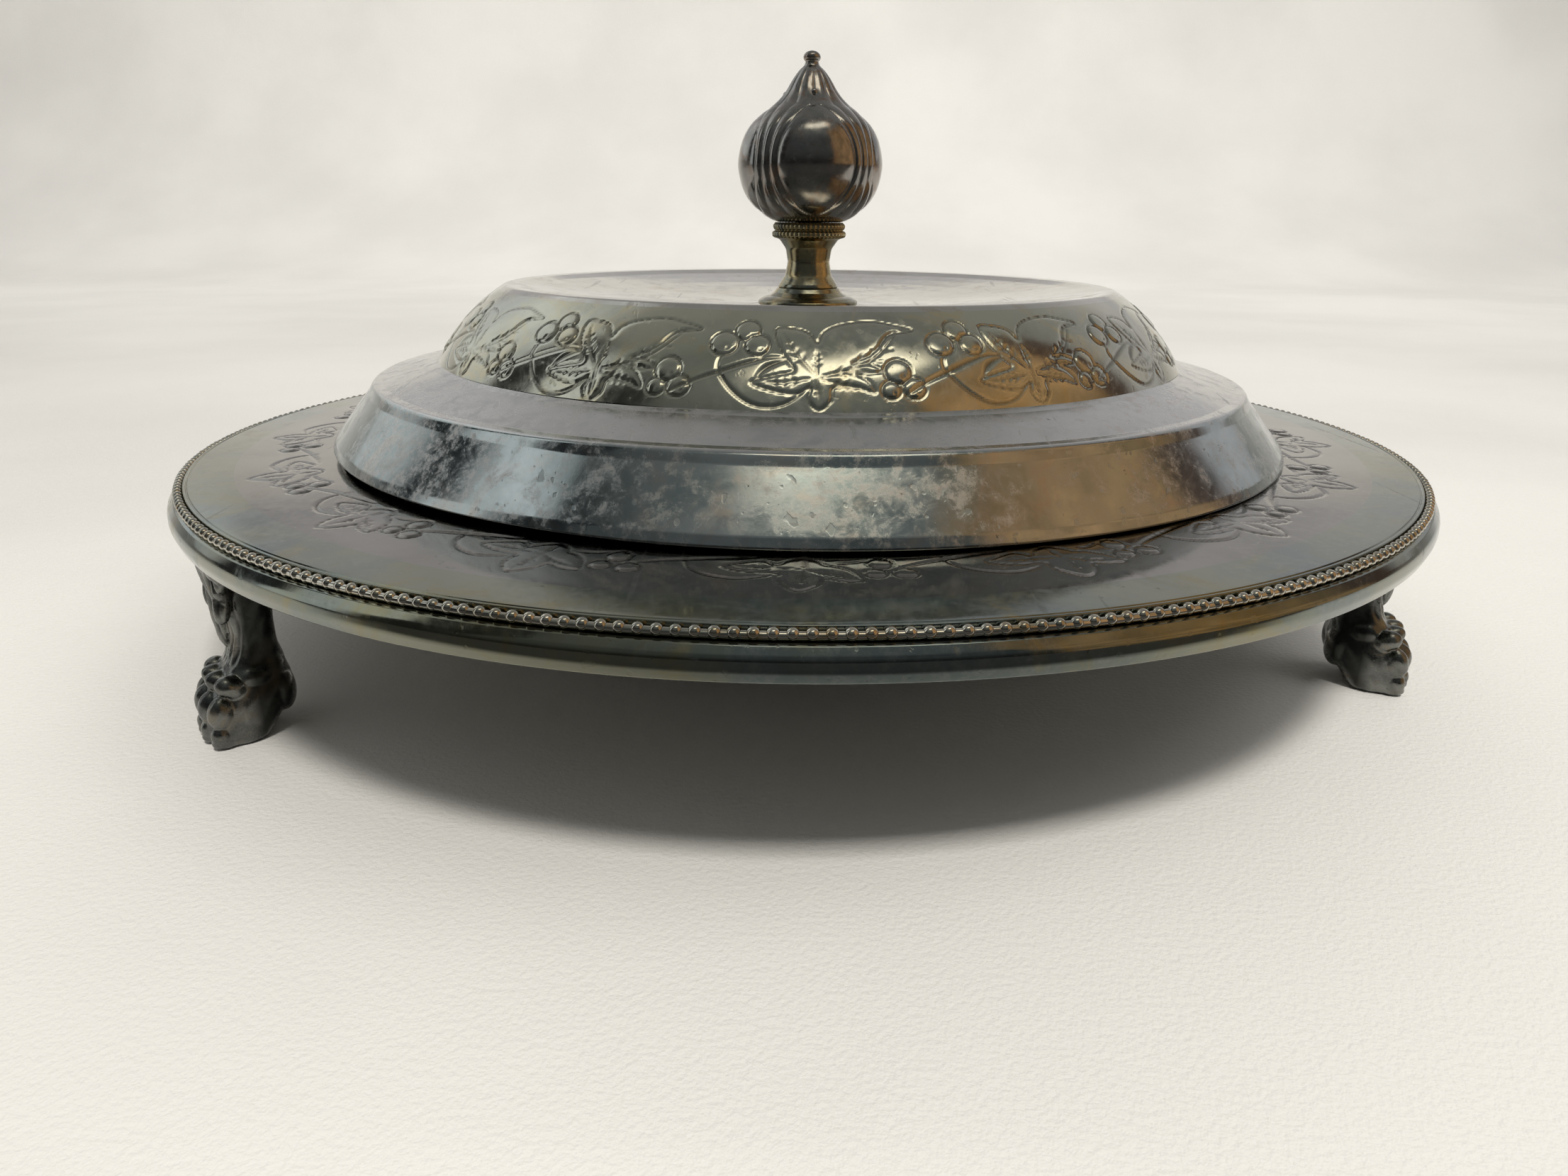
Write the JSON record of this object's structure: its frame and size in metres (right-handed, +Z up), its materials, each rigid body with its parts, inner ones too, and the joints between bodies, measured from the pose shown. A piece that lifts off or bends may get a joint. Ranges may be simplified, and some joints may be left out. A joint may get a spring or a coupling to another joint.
{
  "type": "sugar bowl",
  "caption": "Low covered sugar dish in tarnished silver plate, with a wide beaded rim, cast paw feet, stepped engraved lid and lobed ball finial.",
  "frame": {"origin": "on the surface the feet stand on, under the axis of the dish and its lid", "axes": "+Z up along the axis of the dish, the lid and the finial; -Y is the front, between the two front feet"},
  "size_m": [0.19, 0.1914, 0.0883],
  "materials": {
    "silver_plate": "satin",
    "cast_metal": "satin",
    "worn_brass": "satin",
    "plain_brass": "satin",
    "clear_glass": "gloss"
  },
  "bodies": {
    "dish": {"dish_body": "silver_plate", "bead_border": "silver_plate", "foot_front_left": "cast_metal", "foot_front_right": "cast_metal", "foot_rear": "cast_metal"},
    "liner": {"glass_liner": "clear_glass"},
    "lid": {"lid_shell": "silver_plate", "finial_foot": "worn_brass", "finial_stem": "worn_brass", "finial_ball": "silver_plate", "finial_stud": "plain_brass", "finial_washer": "plain_brass", "finial_nut": "plain_brass"}
  },
  "joints": [
    {"name": "lid_lift", "type": "slide", "parent": "dish", "child": "lid", "axis": [0, 0, 1], "range_m": [0, 0.12]},
    {"name": "liner_lift", "type": "slide", "parent": "dish", "child": "liner", "axis": [0, 0, 1], "range_m": [0, 0.008]}
  ]
}
